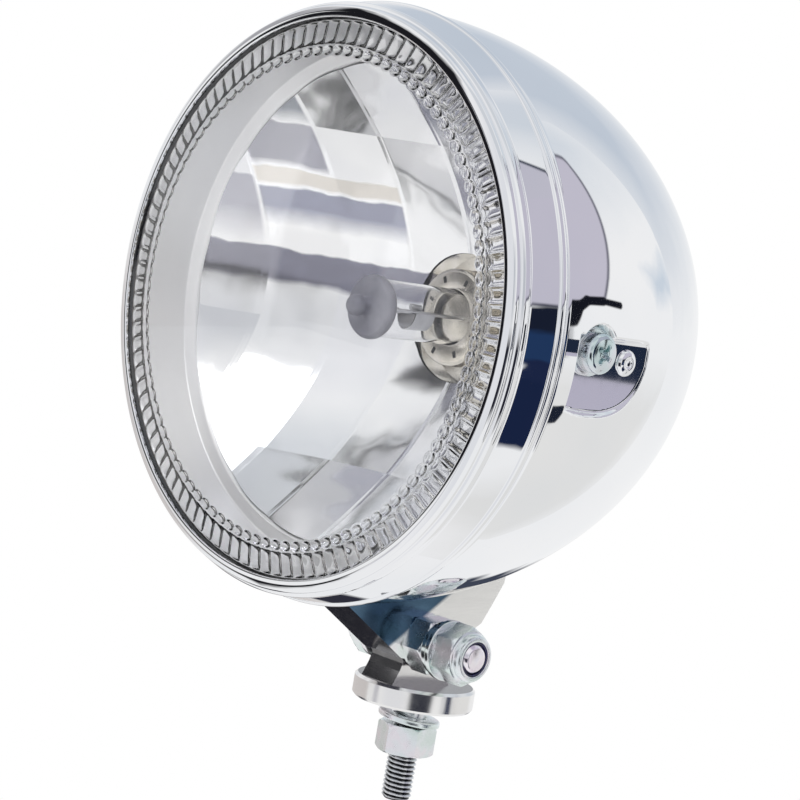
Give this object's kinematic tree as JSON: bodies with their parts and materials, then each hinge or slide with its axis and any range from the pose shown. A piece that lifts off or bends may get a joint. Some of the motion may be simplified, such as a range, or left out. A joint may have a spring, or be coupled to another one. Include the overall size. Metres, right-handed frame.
{
  "type": "round motorcycle headlight",
  "caption": "Round chrome headlight with a fluted clear glass, deep dome shell and side screws, tilting on a folded bracket bolted to a round foot with a threaded stud.",
  "frame": {"origin": "on the stud's axis, where its free end leaves the nut under the foot", "axes": "-Z along the stud towards its free end, -Y the way the lamp shines, X along the pivot bolt with the nuts on the +X side"},
  "size_m": [0.1886, 0.1557, 0.253],
  "materials": {
    "chrome_rim": "mirror polished plating",
    "chrome_shell": "mirror polished plating",
    "chrome_bracket": "plating over folded sheet, finely brushed on the ears",
    "chrome_foot": "polished nickel chrome on a casting",
    "reflector_mirror": "vapour coated mirror in panels",
    "clear_glass": "clear with a moulded fluted band",
    "bulb_glass": "clear with a grey coated tip",
    "bulb_metal": "plain sheet metal",
    "bulb_wire": "drawn wire",
    "black_plastic": "moulded",
    "black_rubber": "matt",
    "zinc_steel": "zinc plated",
    "bright_zinc": "bright zinc plated with a faint green and pink sheen",
    "stud_steel": "zinc plated rolled thread",
    "nylon_ring": "blue-black nylon"
  },
  "bodies": {
    "foot": {"foot": "chrome_foot", "stud": "stud_steel", "foot_washer": "bright_zinc", "foot_nut": "bright_zinc"},
    "lamp": {"rim": "chrome_rim", "glass": "clear_glass", "glass_gasket": "black_rubber", "reflector": "reflector_mirror", "unit_clips": "zinc_steel", "bulb_cup": "bulb_metal", "bulb_glass": "bulb_glass", "bulb_filaments": "bulb_wire", "bulb_base": "black_plastic", "bulb_contacts": "bulb_metal", "bulb_clip": "zinc_steel", "dust_boot": "black_rubber", "shell": "chrome_shell", "tab_nuts": "zinc_steel", "side_screws": "bright_zinc", "side_spring_washers": "zinc_steel", "side_flat_washers": "bright_zinc", "pocket_rivets": "bright_zinc", "bracket": "chrome_bracket", "bracket_rivets": "zinc_steel", "pivot_bolt": "bright_zinc", "bolt_head_washer": "bright_zinc", "pivot_nut": "bright_zinc", "pivot_spring_washer": "bright_zinc", "pivot_flat_washer": "bright_zinc", "lock_nut": "bright_zinc", "lock_nut_ring": "nylon_ring", "cable_grommet": "black_rubber"}
  },
  "joints": [
    {"name": "tilt", "type": "hinge", "parent": "foot", "child": "lamp", "pos_m": [0, -0.0085, 0.0394], "axis": [1, 0, 0], "range_deg": [-12, 12]}
  ]
}
